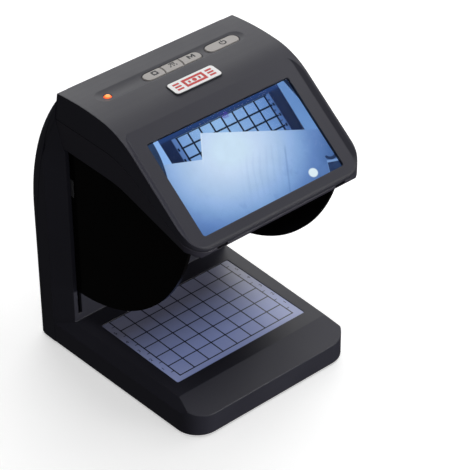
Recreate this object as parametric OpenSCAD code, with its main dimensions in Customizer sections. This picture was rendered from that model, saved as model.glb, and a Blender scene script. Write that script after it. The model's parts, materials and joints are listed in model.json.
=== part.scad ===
// Desktop counterfeit bill detector with a tilted screen above an open note bay.
// X runs to the right, -Y is the front, Z is up.
// The origin is on the table, under the middle of the housing's box.

/* [Housing] */
// Width of the housing at its rear
body_w = 117.6; // [114:0.2:122]
// Depth from the lip of the head to the rear cover
body_d = 137; // [130:1:144]
// Height of the highest point of the roof above the table
body_h = 170.9; // [166:0.1:178]
// Wall thickness of the shells
wall = 2.2; // [1.8:0.1:2.6]
// Gap left visible where two shells meet
seam_gap = 0.4; // [0.2:0.1:0.6]

/* [Base] */
// Width of the base at its front edge
base_front_w = 112; // [108:1:116]
// Height of the flat rim around the mat
rim_z = 19.8; // [18:0.1:22]
// Half width of the flat rim
rim_half = 53.8; // [51:0.1:55]
// How far the base's front edge stands behind the head's lip
base_setback = 5.3; // [0:0.1:12]
// Corner radius of the base's front corners
base_corner_r = 14; // [8:1:20]
// Height that the sloping sides drop from the rim
slope_drop = 6.1; // [4:0.1:8]
// Length of the sloping front ramp
ramp_l = 17; // [10:1:22]
// Height of the rubber feet
foot_h = 1.5; // [1:0.1:2.5]

/* [Column] */
// Distance of the column's front wall behind the origin
column_y = 39; // [36:1:42]
// Depth of the slanted cheek on each side of the column
cheek_d = 13; // [9:1:15]
// Corner radius of the rear cover
rear_r = 8; // [5:1:11]
// Radius of the rear cover's curved back
back_r = 127.8; // [120:0.2:140]
// Height at which the back starts to curve
back_z = 85; // [75:1:92]

/* [Head] */
// Half width of the head
head_half = 58.3; // [57:0.1:59]
// Tilt of the screen face from the horizontal
face_tilt = 37.5; // [34:0.5:42]
// Radius of the crowned roof
roof_r = 165; // [140:5:200]
// Radius of the bend between the roof and the face
bend_r = 46; // [34:1:56]
// Corner radius of the head's front corners
head_corner_r = 12; // [8:1:16]
// Depth of the sunk panel around the screen
panel_drop = 1.6; // [0.8:0.1:2.2]
// Width of the screen window
window_w = 93.7; // [88:0.1:96]
// Height of the screen window along the slope
window_l = 54; // [50:0.5:57]
// How far the window lies to the right of the panel's middle, and up its slope
window_shift = [0.3, -1.5];
// Inward slant of the lower shell's sides
keel_angle = 10.8; // [0:0.2:14]

/* [Mat] */
// Width of the light mat
mat_w = 90; // [84:1:94]
// Length of the light mat
mat_l = 64; // [56:1:68]
// Thickness of the light mat
mat_t = 2; // [1.6:0.1:2.6]

/* [Shields] */
// Distance of each side shield's outer face from the middle
shield_x = 51; // [50:0.1:51.6]
// Thickness of the side shields
shield_t = 2; // [1.6:0.1:2.2]
// Radius of the shields' curved edge
shield_r = 101.2; // [96:0.2:106]

/* [Keys] */
// Travel of each push button
key_travel = 0.7; // [0.3:0.1:1]
// Width of the keys, front to back
key_w = 7.2; // [6:0.1:8]
// Clearance around each key
key_gap = 0.35; // [0.3:0.05:0.5]
// Left and right ends of the row of three keys
trio_x = [-18.0, 19.2];
// Left and right ends of the power key
power_x = [23.4, 44.7];
// Height of the key tops above the floor of their recess
key_stand = 0.55; // [0.3:0.05:1]

/* [Hidden] */
$fn = 48;
eps = 0.02;
// Close-fitting joint between the head and the column
joint_gap = 0.05;
mid_y = body_d / 2;
lip_y = -mid_y;
half_w = body_w / 2;
base_y = lip_y + base_setback;
roof_apex_y = 15;
roof_top = body_h;
roof_c = [roof_apex_y, roof_top - roof_r];
// Line of the side rims beside the screen: a point (Y, Z) on it
rim_point = [-20.4, 163.1];
face_n = [-sin(face_tilt), cos(face_tilt)];
// Point of the sunk panel from which its parts are placed (Y, Z)
window_c = [rim_point[0] - panel_drop * face_n[0] - 26 * cos(face_tilt),
            rim_point[1] - panel_drop * face_n[1] - 26 * sin(face_tilt)];
// Seam between the head's two shells
seam_z = 153.5;
seam_bend_r = 50;
seam_slope = 28;
// Underside of the head
under_z = 133.2;
under_y = 5;
under_bend_r = 90;
under_slope = 9.5;
floor_t = 1.6;
lip_z = 120.7;
head_back_top = 36.3;
// Seam between the column and the rear cover
cover_y = 61;
cover_z = 60;
cover_r = 240;
// Screen parts, measured along the face's normal
glass_back = -1.8;
glass_front = -0.8;
module_front = -2.3;
module_back = -4.1;
// Recess and keys
key_y = 16.6;
recess_y = 17.1;
recess_w = 11.6;
recess_x = [-48.3, 48.6];
recess_depth = 0.9;
recess_floor = roof_top - recess_depth;
recess_r = (recess_w * recess_w / 4 + recess_depth * recess_depth) / (2 * recess_depth);
key_top = recess_floor + key_stand;
key_flange_top = recess_floor - 1.5;
key_flange_t = 1;
plunger_r = 1.75;
plunger_top = key_flange_top - 3.6;
switch_top = plunger_top - 2 * key_travel;
switch_h = 3.5;
key_board_top = switch_top - switch_h;
board_t = 1.6;
split_r = 8;
split_x = [-5.1, 6.9];
key_cx = [-12, 0.9, 12.5, 34.4];
led_x = -41.5;
led_y = 16.5;
led_r = 2.1;
// Boards in the head
main_board_z = 148;
main_board_w = 80;
main_board_y = [-8, 34];
camera_y = 14;
camera_board_z = 143.4;
lamp_y = 30;
// Base interior
plate_t = 2;
ledge = 3;
mat_rear_y = 27;
mat_y = mat_rear_y - mat_l / 2;
mat_z = rim_z - 0.3;
base_roof = 4;
base_in_z = rim_z - base_roof;
backlight_z = 8;
// Power board and jack at the foot of the column
power_board_z = 6;
jack_x = 34;
jack_w = 9;
jack_h = 11;
jack_z = power_board_z + board_t + jack_h / 2;
// Fasteners
screw_r = 1.25;
pilot_r = 1.05;
boss_r = 3;
body_screw_xy = [[-46, -35], [46, -35], [-46, 33], [46, 33]];
cover_screw_xz = [[-44, 30], [44, 30], [-44, 108], [44, 108]];
head_screw_xy = [[-44.5, -1], [44.5, -1], [-44.5, 32], [44.5, 32]];
main_screw_xy = [[-36.5, -4], [36.5, -4], [-36.5, 21.5], [36.5, 21.5]];
key_screw_x = [-30, 21.3];
foot_xy = [[-45, -51], [45, -51], [-46, 52], [46, 52]];

charcoal = [0.22, 0.22, 0.235];
charcoal_dark = [0.16, 0.16, 0.175];
smoke = [0.06, 0.06, 0.065];
key_grey = [0.72, 0.71, 0.69];
board_green = [0.05, 0.28, 0.14];
steel = [0.62, 0.63, 0.65];

// ---------- outlines ----------

// Points of an arc from a0 to a1 in degrees, n steps
function arc(c, r, a0, a1, n) =
    [for (i = [0 : n]) [c[0] + r * cos(a0 + (a1 - a0) * i / n), c[1] + r * sin(a0 + (a1 - a0) * i / n)]];

// Where the roof arc hands over to the bend, for a roof of radius rr, a bend of
// radius br and a face line that lies at distance d along its own normal
function bend_start(rr, br, d) =
    face_tilt - acos((d - br - face_n * roof_c) / (rr - br));

// Roof, bend and face line as (Y, Z) points from rear to front, inset by in_roof and in_face
function roof_line(in_roof, in_face, br, y_rear, y_front) =
    let (rr = roof_r - in_roof,
         d = face_n * rim_point - in_face,
         a1 = bend_start(rr, br, d),
         a0 = asin((y_rear - roof_c[0]) / rr),
         c2 = roof_c + (rr - br) * [-sin(a1), cos(a1)],
         last = c2 + br * face_n,
         run = last[0] - y_front)
    concat(arc(roof_c, rr, 90 - a0, 90 + a1, 8),
           [for (p = arc(c2, br, 90 + a1, 90 + face_tilt, 14)) if (p != undef) p],
           [[y_front, last[1] - run * tan(face_tilt)]]);

// Seam between the shells, front to rear, moved by dz
function seam_height(y) =
    y > 0 ? seam_z
    : y > -seam_bend_r * sin(seam_slope)
        ? seam_z - seam_bend_r + sqrt(seam_bend_r * seam_bend_r - y * y)
        : seam_z - seam_bend_r * (1 - cos(seam_slope))
          - (-y - seam_bend_r * sin(seam_slope)) * tan(seam_slope);
function seam_line(dz, y_rear, y_front) =
    concat([[y_front, seam_height(y_front) + dz]],
           [for (i = [0 : 8]) let (y = -seam_bend_r * sin(seam_slope * (8 - i) / 8)) [y, seam_height(y) + dz]],
           [[y_rear, seam_z + dz]]);

// Underside of the head at a given Y
function under_height(y) =
    let (t = under_y - y, bend = under_bend_r * sin(under_slope))
    t < 0 ? under_z
    : t < bend ? under_z - under_bend_r + sqrt(under_bend_r * under_bend_r - t * t)
               : under_z - under_bend_r * (1 - cos(under_slope)) - (t - bend) * tan(under_slope);

// Rounded rectangle from exact primitives
module round_rect(w, l, r) {
    square([w - 2 * r, l], center = true);
    square([w, l - 2 * r], center = true);
    for (sx = [-1, 1], sy = [-1, 1])
        translate([sx * (w / 2 - r), sy * (l / 2 - r)])
            circle(r = r);
}

// Long slot with round ends from x0 to x1
module stadium(x0, x1, w) {
    translate([x0 + w / 2, -w / 2])
        square([x1 - x0 - w, w]);
    for (x = [x0 + w / 2, x1 - w / 2])
        translate([x, 0])
            circle(d = w);
}

// A profile drawn in (Y, Z), extruded across the housing
module across(w) {
    rotate([90, 0, 90])
        translate([0, 0, -w / 2])
            linear_extrude(height = w)
                children();
}

// Places children on the sunk panel: X across, Y up the slope, Z out of the face
module on_face(n = 0) {
    translate([0, window_c[0], window_c[1]])
        rotate([face_tilt, 0, 0])
            translate([0, 0, n])
                children();
}

// The same for the parts of the screen, which sit a little off the panel's middle
module on_window(n = 0) {
    on_face(n)
        translate(window_shift)
            children();
}

module slab(w, l, t, r = 1) {
    linear_extrude(height = t)
        round_rect(w, l, r);
}

// ---------- base and column ----------

// Plan of the base, inset all round
module base_plan(inset = 0) {
    r = base_corner_r - inset;
    c = [base_front_w / 2 - base_corner_r, base_y + base_corner_r];
    polygon([[-half_w + inset, cover_y], [half_w - inset, cover_y],
             [c[0] + r, c[1]], [-c[0] - r, c[1]]]);
    translate([-c[0], base_y + inset])
        square([2 * c[0], base_corner_r + 6 - inset]);
    for (s = [-1, 1])
        translate([s * c[0], c[1]])
            circle(r = r);
}

// Half widths of the column's plan at its front ridge and behind its cheek
cheek_x = half_w - 0.2;
// Angle by which the sides close in towards the front
side_taper = atan((half_w - base_front_w / 2 - 0.3) / (cover_y - base_y - base_corner_r));
module column_plan(inset = 0, y_rear = cover_y) {
    polygon([for (p = [[-1, column_y + inset, rim_half - inset], [-1, column_y + cheek_d, cheek_x - inset],
                       [-1, y_rear, half_w - inset], [1, y_rear, half_w - inset],
                       [1, column_y + cheek_d, cheek_x - inset], [1, column_y + inset, rim_half - inset]])
                 [p[0] * p[2], p[1]]]);
}

// Everything in front of the seam between the column and the rear cover
module ahead_of_cover(gap = 0) {
    translate([-80, -100, -5])
        cube([160, 100 + cover_y - gap, cover_z + 5]);
    translate([0, cover_y - cover_r, cover_z])
        rotate([0, 90, 0])
            cylinder(r = cover_r - gap, h = 160, center = true, $fn = 120);
}

// Block that fills the space ahead of the column and under the head's rear edge
module behind_head(gap = 0) {
    across(160)
        polygon([[head_back_top + gap, roof_top + 10], [head_back_top + gap, 169.8],
                 [column_y + gap, seam_z], [column_y + gap, -5], [90, -5], [90, roof_top + 10]]);
}

// Wedge that flares each cheek outward where it meets the head
module cheek_flare(s) {
    z0 = under_z - 3;
    a = [s * rim_half, column_y];
    b = [s * cheek_x, column_y + cheek_d];
    tip = [s * (head_half + 0.2), column_y, seam_z];
    out = [s * 66, column_y - 1];
    hull() {
        polyhedron([[a[0], a[1], z0], [b[0], b[1], z0], [out[0], out[1], z0], tip],
                   [[0, 1, 2], [0, 3, 1], [1, 3, 2], [2, 3, 0]]);
    }
}

module column_solid() {
    intersection() {
        difference() {
            translate([-half_w, head_back_top - 6, foot_h])
                cube([body_w, 40, 167 - foot_h]);
            for (s = [-1, 1]) {
                translate([0, 0, -5])
                    linear_extrude(height = under_z - 3 + 5)
                        polygon([[s * rim_half, column_y - 1], [s * rim_half, column_y],
                                 [s * cheek_x, column_y + cheek_d], [s * 66, column_y + cheek_d],
                                 [s * 66, column_y - 1]]);
                cheek_flare(s);
            }
        }
        ahead_of_cover();
        behind_head(joint_gap);
    }
}

module base_block() {
    run = half_w - 0.4 - rim_half;
    difference() {
        translate([0, 0, foot_h])
            linear_extrude(height = rim_z - foot_h)
                base_plan();
        // side slopes follow the taper of the base
        for (s = [-1, 1])
            translate([s * rim_half, column_y, 0])
                rotate([0, 0, -s * side_taper])
                    rotate([90, 0, 0])
                        translate([0, 0, -40])
                            linear_extrude(height = 160)
                                polygon([[0, rim_z], [s * run * 2, rim_z - slope_drop * 2],
                                         [s * run * 2, rim_z + 2], [0, rim_z + 2]]);
        // front ramp
        across(140)
            polygon([[base_y + ramp_l, rim_z], [base_y + ramp_l, rim_z + 2],
                     [base_y - ramp_l, rim_z + 2], [base_y - ramp_l, rim_z - 2 * slope_drop]]);
    }
}

module shield_groove(s) {
    translate([s * (shield_x - shield_t / 2) - shield_t / 2 - 0.25, column_y - 1, rim_z + 4.5])
        cube([shield_t + 0.5, 5.2, under_z - rim_z + 8]);
}

module screw_boss(h, r = boss_r, hole = pilot_r, depth = 8) {
    difference() {
        cylinder(r = r, h = h);
        translate([0, 0, -eps])
            cylinder(r = hole, h = depth);
    }
}

module body_shell() {
    color(charcoal) {
        difference() {
            union() {
                base_block();
                column_solid();
            }
            // hollow of the base, narrower under the slopes
            translate([0, 0, -1])
                linear_extrude(height = rim_z - slope_drop - wall + 1)
                    base_plan(wall);
            translate([0, 0, foot_h])
                linear_extrude(height = base_in_z - foot_h)
                    translate([0, (base_y + ramp_l + cover_y) / 2])
                        square([2 * (rim_half - 3), cover_y - base_y - ramp_l - 4], center = true);
            // hollow of the column, open at the rear and into the head
            translate([0, 0, foot_h])
                linear_extrude(height = 170)
                    column_plan(wall, 72);
            translate([-rim_half + 4, column_y - 1, under_z + 4])
                cube([2 * (rim_half - 4), 10, 40]);
            // seat and light opening of the mat
            translate([0, mat_y, mat_z - mat_t])
                linear_extrude(height = 10)
                    round_rect(mat_w + 0.3, mat_l + 0.3, 1);
            translate([0, mat_y, 0])
                linear_extrude(height = 30)
                    round_rect(mat_w - 2 * ledge, mat_l - 2 * ledge, 1);
            for (s = [-1, 1])
                shield_groove(s);
        }
        for (p = body_screw_xy)
            translate([p[0], p[1], foot_h + plate_t])
                screw_boss(base_in_z - foot_h - plate_t + eps);
        // lugs that the rear cover's screws enter
        for (p = cover_screw_xz)
            translate([p[0], column_y + wall - eps, p[1]])
                rotate([-90, 0, 0])
                    difference() {
                        cylinder(r = boss_r, h = 12);
                        translate([0, 0, 3])
                            cylinder(r = pilot_r, h = 10);
                    }
    }
}

module bottom_plate() {
    color(charcoal_dark)
        difference() {
            translate([0, 0, foot_h])
                linear_extrude(height = plate_t)
                    base_plan(wall + 0.3);
            translate([-80, cover_y - 0.3, 0])
                cube([160, 10, 10]);
            for (p = body_screw_xy)
                translate([p[0], p[1], 0]) {
                    cylinder(r = screw_r + 0.2, h = 10);
                    translate([0, 0, foot_h - eps])
                        cylinder(r = 2.8, h = 1.2 + eps);
                }
            // air slots under the backlight
            for (i = [-3 : 3])
                translate([i * 7, -5, 0])
                    linear_extrude(height = 10)
                        rotate([0, 0, 90])
                            stadium(-12, 12, 2.4);
        }
}

module rubber_feet() {
    color("#202022")
        for (p = foot_xy)
            translate([p[0], p[1], 0])
                rotate_extrude()
                    polygon([[0, 0], [5.4, 0], [6, 0.6], [6, foot_h], [0, foot_h]]);
}

// Section of the rear cover: outward radius first, width second
module cover_section(out, inset) {
    r = rear_r - inset;
    deep = 40;
    w = body_w - 2 * inset;
    translate([out - inset - deep, -w / 2])
        square([deep - r, w]);
    translate([out - inset - r - eps, -w / 2 + r])
        square([r + eps, w - 2 * r]);
    for (s = [-1, 1])
        translate([out - inset - r, s * (w / 2 - r)])
            circle(r = r);
}

module cover_solid(inset) {
    translate([0, 0, foot_h + inset])
        linear_extrude(height = back_z - foot_h - inset)
            rotate([0, 0, 90])
                cover_section(mid_y, inset);
    translate([0, mid_y - back_r, back_z])
        rotate(a = 120, v = [1, 1, 1])
            rotate_extrude(angle = 44, $fn = 120)
                cover_section(back_r, inset);
}

module rear_cover() {
    color(charcoal)
        difference() {
            intersection() {
                difference() {
                    cover_solid(0);
                    cover_solid(wall);
                }
                behind_head(seam_gap);
            }
            ahead_of_cover(-seam_gap);
            // opening for the power jack
            translate([jack_x, mid_y - 6, jack_z])
                cube([jack_w + 0.6, 20, jack_h + 0.6], center = true);
            // screw holes, sunk for the heads
            for (p = cover_screw_xz)
                translate([p[0], column_y, p[1]])
                    rotate([-90, 0, 0]) {
                        cylinder(r = screw_r + 0.25, h = 60);
                        translate([0, 0, back_y(p[1]) - 1.8 - column_y])
                            cylinder(r = 2.9, h = 20);
                    }
            // air slots
            for (i = [0 : 4])
                translate([0, mid_y - 6, 44 + i * 6])
                    rotate([-90, 0, 0])
                        linear_extrude(height = 12)
                            stadium(-20, 20, 2.2);
        }
    // posts that carry the cover's screws
    color(charcoal)
        for (p = cover_screw_xz)
            cover_post(p);
}

module cover_post(p) {
    start = column_y + wall + 12.2;
    stop = back_y(p[1]) - 1.8;
    translate([p[0], start, p[1]])
        rotate([-90, 0, 0])
            difference() {
                cylinder(r = boss_r + 0.6, h = stop - start);
                translate([0, 0, -1])
                    cylinder(r = screw_r + 0.25, h = 60);
            }
}

// ---------- head ----------

// Plan of the head, inset all round
module head_plan(inset = 0, y_rear = column_y) {
    r = head_corner_r - inset;
    c = [head_half - head_corner_r, lip_y + 0.3 + head_corner_r];
    translate([-head_half + inset, c[1]])
        square([2 * (head_half - inset), y_rear - c[1]]);
    translate([-c[0], lip_y + 0.3 + inset])
        square([2 * c[0], head_corner_r]);
    for (s = [-1, 1])
        translate([s * c[0], c[1]])
            circle(r = r);
}

module head_prism(inset, y_rear) {
    translate([0, 0, 100])
        linear_extrude(height = 80)
            head_plan(inset, y_rear);
}

// The sunk panel round the screen, widening towards its rim
module panel_cut() {
    on_face()
        hull() {
            translate([0, 2.4, 0])
                linear_extrude(height = 0.01, $fn = 32)
                    round_rect(109.2, 71.6, 8);
            translate([0, 2.4, 6])
                linear_extrude(height = 0.01, $fn = 32)
                    round_rect(128, 87.2, 15);
        }
}

// Long shallow dish that the keys lie in, with round ends
module key_recess() {
    ends = [recess_x[0] + recess_w / 2, recess_x[1] - recess_w / 2];
    translate([0, recess_y, recess_floor + recess_r]) {
        translate([ends[0], 0, 0])
            rotate([0, 90, 0])
                cylinder(r = recess_r, h = ends[1] - ends[0], $fn = 180);
        for (x = ends)
            translate([x, 0, 0])
                sphere(r = recess_r, $fn = 180);
    }
}

module upper_profile() {
    polygon(concat(roof_line(0, 0, bend_r, head_back_top, lip_y - 2),
                   seam_line(0, column_y, lip_y - 2)));
}

module upper_hollow() {
    polygon(concat(roof_line(wall, wall + panel_drop, 20, column_y + 2, lip_y - 2),
                   seam_line(-30, column_y + 2, lip_y - 2)));
}

module head_upper_shell() {
    color(charcoal)
        difference() {
            intersection() {
                across(130)
                    upper_profile();
                head_prism(0, column_y);
            }
            intersection() {
                across(130)
                    upper_hollow();
                head_prism(wall, column_y + 5);
            }
            panel_cut();
            // screen window and the seat of its glass
            on_window(-6)
                linear_extrude(height = 12)
                    round_rect(window_w, window_l, 1.5);
            on_window(-8)
                linear_extrude(height = 8 + glass_front)
                    round_rect(window_w + 4.6, window_l + 2.6, 1);
            key_recess();
            // key openings and the lens hole
            translate([0, key_y, 160])
                linear_extrude(height = 20) {
                    stadium(trio_x[0] - key_gap, trio_x[1] + key_gap, key_w + 2 * key_gap);
                    stadium(power_x[0] - key_gap, power_x[1] + key_gap, key_w + 2 * key_gap);
                }
            translate([led_x, led_y, 160])
                cylinder(r = led_r + 0.15, h = 20);
            // shallow seat of the name plate
            plate_seat(0.3)
                slab(30.4, 9.6, 5, 2);
        }
    // bosses for the keypad board and the head's screws
    color(charcoal) {
        for (x = key_screw_x)
            translate([x, recess_y, key_board_top])
                screw_boss(recess_floor - 1 - key_board_top, 1.7, 0.9, 6);
        for (p = head_screw_xy)
            translate([p[0], p[1], 150])
                head_boss(p);
    }
}

module head_boss(p) {
    intersection() {
        difference() {
            cylinder(r = boss_r, h = 30);
            translate([0, 0, -1])
                cylinder(r = pilot_r, h = 10);
        }
        translate([0, -p[1], -150])
            across(130)
                polygon(concat(roof_line(wall - eps, wall + panel_drop - eps, 20, column_y + 2, lip_y - 2),
                               seam_line(-30, column_y + 2, lip_y - 2)));
    }
}

// Profile of the lower shell: seam on top, keel and lip below, moved in by floor_up
module lower_profile(top_up, floor_up, y_front, y_rear) {
    bend = under_bend_r * sin(under_slope);
    polygon(concat(seam_line(top_up, y_rear, y_front),
                   [[y_rear, under_z + floor_up]],
                   [for (i = [0 : 6]) let (y = under_y - bend * i / 6) [y, under_height(y) + floor_up]],
                   [[lip_y + 5.2, under_height(lip_y + 5.2) + floor_up],
                    [max(lip_y + 1.7, y_front), lip_z + floor_up],
                    [max(lip_y + 0.5, y_front), lip_z + 1.1 + floor_up],
                    [max(lip_y + 0.1, y_front), lip_z + 2.8 + floor_up]]));
}

// Removes what lies outside the slanted side: a flat part, a bend and a sloped part,
// all leaning in by keel_angle below the seam
module keel_cut(inset) {
    lean = tan(keel_angle);
    x_top = head_half - inset / cos(keel_angle);
    grow = seam_bend_r + 12;
    x_in = x_top - seam_bend_r * lean;
    x_out = x_in + grow * lean;
    side = [[x_in, 0], [x_out, grow], [x_out + 12, grow], [x_out + 12, 0]];
    for (m = [0, 1])
        mirror([m, 0, 0])
            translate([0, 0, seam_z - seam_bend_r]) {
                translate([0, 70, 0])
                    rotate([90, 0, 0])
                        linear_extrude(height = 70)
                            polygon(side);
                rotate([seam_slope, 0, 0])
                    rotate([90, 0, 0])
                        linear_extrude(height = 90)
                            polygon(side);
                rotate(a = 120, v = [1, 1, 1])
                    rotate([0, 0, 88])
                        rotate_extrude(angle = seam_slope + 4, $fn = 120)
                            polygon([for (q = side) [q[1], q[0]]]);
            }
}

module lower_solid(inset, top_up, floor_up, y_front, y_rear) {
    difference() {
        intersection() {
            across(130)
                lower_profile(top_up, floor_up, y_front, y_rear);
            head_prism(inset, y_rear);
        }
        keel_cut(inset);
    }
}

module head_lower_shell() {
    color(charcoal)
        difference() {
            lower_solid(0, -seam_gap, 0, lip_y, column_y - joint_gap);
            lower_solid(wall, 6, floor_t, lip_y + 2.6, column_y + 3);
            // slots that the side shields stand in
            for (s = [-1, 1])
                translate([s * (shield_x - shield_t / 2), -9.5, 120])
                    cube([shield_t + 0.4, 98, 40], center = true);
            // window for the lamps, and openings for the camera and its light
            translate([0, lamp_y, 130])
                linear_extrude(height = 10)
                    round_rect(76, 8, 1);
            translate([0, lamp_y, 130])
                linear_extrude(height = under_z + 0.8 - 130)
                    round_rect(82.4, 12.4, 1);
            translate([0, camera_y, 128])
                cylinder(r = 6.6, h = 12);
            for (s = [-1, 1], k = [-1, 0, 1])
                translate([s * 26 + k * 8, camera_y, 128])
                    cylinder(r = 2.7, h = 12);
            for (p = head_screw_xy)
                translate([p[0], p[1], 120]) {
                    cylinder(r = screw_r + 0.2, h = 40);
                    cylinder(r = 2.8, h = under_height(p[1]) + 1.5 - 120);
                }
            // snap notches in the lip
            for (s = [-1, 1])
                translate([s * 39.5, lip_y + 0.6, lip_z + 2.2])
                    cube([6.6, 2.4, 1.4], center = true);
        }
    color(charcoal) {
        for (p = main_screw_xy)
            translate([p[0], p[1], under_z + floor_t - 1.2])
                difference() {
                    cylinder(r = 2.4, h = main_board_z - under_z - floor_t + 1.2);
                    translate([0, 0, 6])
                        cylinder(r = 0.9, h = 20);
                }
        for (p = head_screw_xy)
            translate([p[0], p[1], under_height(p[1]) + 1.5])
                difference() {
                    cylinder(r = boss_r + 0.6, h = 149.8 - under_height(p[1]) - 1.5);
                    translate([0, 0, -1])
                        cylinder(r = screw_r + 0.2, h = 40);
                }
    }
}

// ---------- shields ----------

module shield(s) {
    front_y = lip_y + 10.4;
    color(smoke)
        translate([s * (shield_x - shield_t / 2), 0, 0])
            intersection() {
                across(shield_t)
                    translate([column_y + 3.8, under_z + 7.7])
                        circle(r = shield_r, $fn = 160);
                across(shield_t)
                    polygon([[column_y + 3.8, 30], [column_y + 3.8, under_z + 6],
                             [0, under_z + 6], [-40, under_z - 1.5], [front_y - 0.4, lip_z + 3.4],
                             [front_y - 0.4, 30]]);
            }
}
module left_shield() { shield(-1); }
module right_shield() { shield(1); }

// Tab beside the column that grips each shield's rear edge
module shield_clip(s) {
    color([0.4, 0.4, 0.43])
        translate([s * (shield_x + eps), column_y - 2.1, 102.2])
            mirror([s < 0 ? 1 : 0, 0, 0])
                linear_extrude(height = 10.7)
                    polygon([[0, 0], [0.5, 0.2], [0.5, 1.2], [0.2, 1.5], [0.2, 5], [0, 5]]);
}
module left_shield_clip() { shield_clip(-1); }
module right_shield_clip() { shield_clip(1); }

// ---------- mat and backlight ----------

module light_mat() {
    color([0.62, 0.63, 0.68])
        translate([0, mat_y, mat_z - mat_t])
            slab(mat_w, mat_l, mat_t, 0.8);
}

module diffuser_sheet() {
    color([0.85, 0.86, 0.88])
        translate([0, mat_y, mat_z - mat_t - 1 - eps])
            slab(mat_w - 2 * ledge - 0.4, mat_l - 2 * ledge - 0.4, 1, 0.8);
}

module backlight_board() {
    color(board_green)
        translate([0, mat_y, backlight_z])
            slab(mat_w - 2 * ledge - 6, mat_l - 2 * ledge - 4, board_t, 1);
    // stand-offs down to the bottom plate
    color(charcoal_dark)
        for (sx = [-1, 1], sy = [-1, 1])
            translate([sx * 32, mat_y + sy * 20, foot_h + plate_t])
                cylinder(r = 2.5, h = backlight_z - foot_h - plate_t);
}

module backlight_leds() {
    color([0.95, 0.93, 0.8])
        for (i = [-2.5 : 2.5], j = [-1 : 1])
            translate([i * 12, mat_y + j * 16, backlight_z + board_t])
                slab(3.5, 2.8, 1, 0.3);
}

// ---------- display ----------

module display_window() {
    color([0.75, 0.8, 0.85, 0.4])
        on_window(glass_back)
            slab(window_w + 4, window_l + 2, glass_front - glass_back, 0.8);
}

module display_gasket() {
    color("#1b1b1d")
        on_window(module_front)
            linear_extrude(height = glass_back - module_front)
                difference() {
                    round_rect(window_w + 4, window_l + 2, 0.8);
                    round_rect(window_w + 1, window_l - 0.6, 0.8);
                }
}

module display_module() {
    color([0.14, 0.2, 0.32])
        on_window(module_back)
            translate([0, 0.6, 0])
                slab(99, 55, module_front - module_back, 0.8);
}

// (Y, Z) of a point on the face's middle line: up the slope and out along the normal
function face_point(up, out) =
    window_c + up * [cos(face_tilt), sin(face_tilt)] + out * face_n;

module display_cable() {
    color([0.72, 0.45, 0.12])
        ribbon(0, 20, -0.3, [face_point(12, module_back), face_point(21, module_back),
                             face_point(25, module_back - 1.6), [-9, main_board_z + board_t + 1.4],
                             [-6, main_board_z + board_t + 0.3], [-2, main_board_z + board_t + 0.3]]);
}

// ---------- boards in the head ----------

module main_board() {
    color(board_green)
        difference() {
            translate([0, (main_board_y[0] + main_board_y[1]) / 2, main_board_z])
                slab(main_board_w, main_board_y[1] - main_board_y[0], board_t, 1);
            for (p = main_screw_xy)
                translate([p[0], p[1], main_board_z - 1])
                    cylinder(r = 1.2, h = 6);
        }
}

module main_board_chips() {
    color("#18181a")
        for (c = [[-18, 8, 14, 14, 1.4], [4, 22, 12, 8, 1.2], [24, 20, 8, 8, 1.2], [-22, 25, 10, 6, 1.8]])
            translate([c[0], c[1], main_board_z + board_t])
                linear_extrude(height = c[4])
                    square([c[2], c[3]], center = true);
}

module keypad_board() {
    color(board_green)
        difference() {
            translate([0, recess_y, key_board_top - board_t])
                slab(96, 15, board_t, 1);
            for (x = key_screw_x)
                translate([x, recess_y, key_board_top - 4])
                    cylinder(r = 1.1, h = 8);
        }
}

module keypad_cable() {
    color([0.5, 0.5, 0.53])
        ribbon(-6, 10, 0.5, [[16, key_board_top - board_t], [9, key_board_top - board_t - 0.6],
                             [6, main_board_z + board_t + 4], [8, main_board_z + board_t + 0.6],
                             [12, main_board_z + board_t + 0.5]]);
}

module tact_switches() {
    color("#26262a")
        for (x = key_cx)
            translate([x, key_y, key_board_top])
                difference() {
                    linear_extrude(height = switch_h)
                        square([6, 6], center = true);
                    translate([0, 0, 1.4])
                        cylinder(r = plunger_r + 0.3, h = 5);
                }
}

module plunger(i) {
    color([0.85, 0.85, 0.83])
        translate([key_cx[i], key_y, key_board_top + 2.3])
            cylinder(r = plunger_r, h = plunger_top - key_board_top - 2.3);
}
module magnifier_plunger() { plunger(0); }
module lamp_plunger() { plunger(1); }
module mode_plunger() { plunger(2); }
module power_plunger() { plunger(3); }

// A key: its cap, a flange that keeps it in, and the stem that meets the switch
module key_body(i, x0, x1) {
    color(key_grey) {
        translate([0, key_y, key_flange_top - eps])
            linear_extrude(height = key_top - key_flange_top - 0.35 + eps)
                children();
        // slightly narrower crown
        translate([0, key_y, key_top - 0.36])
            linear_extrude(height = 0.36)
                offset_key(0.3)
                    children();
        translate([(x0 + x1) / 2 - 0.4, key_y, key_flange_top - key_flange_t])
            slab(x1 - x0 - 2.2, key_w + 2.2, key_flange_t, 0.6);
        translate([key_cx[i], key_y, plunger_top])
            cylinder(r = 1.6, h = key_flange_top - plunger_top - key_flange_t + eps);
    }
}

// Shrinks an outline by d, front and rear
module offset_key(d) {
    intersection() {
        children();
        translate([0, d])
            children();
        translate([0, -d])
            children();
        translate([d, 0])
            children();
        translate([-d, 0])
            children();
    }
}

module split_disc(i, grow) {
    translate([split_x[i] - split_r, 1])
        circle(r = split_r + grow);
}

module magnifier_key() {
    key_body(0, trio_x[0], split_x[0])
        intersection() {
            stadium(trio_x[0], trio_x[1], key_w);
            union() {
                translate([trio_x[0], -key_w])
                    square([split_x[0] - split_r - trio_x[0], 2 * key_w]);
                split_disc(0, 0);
            }
        }
}

module lamp_key() {
    key_body(1, split_x[0] + key_gap, split_x[1])
        difference() {
            intersection() {
                stadium(trio_x[0], trio_x[1], key_w);
                split_disc(1, 0);
            }
            split_disc(0, key_gap);
        }
}

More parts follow.
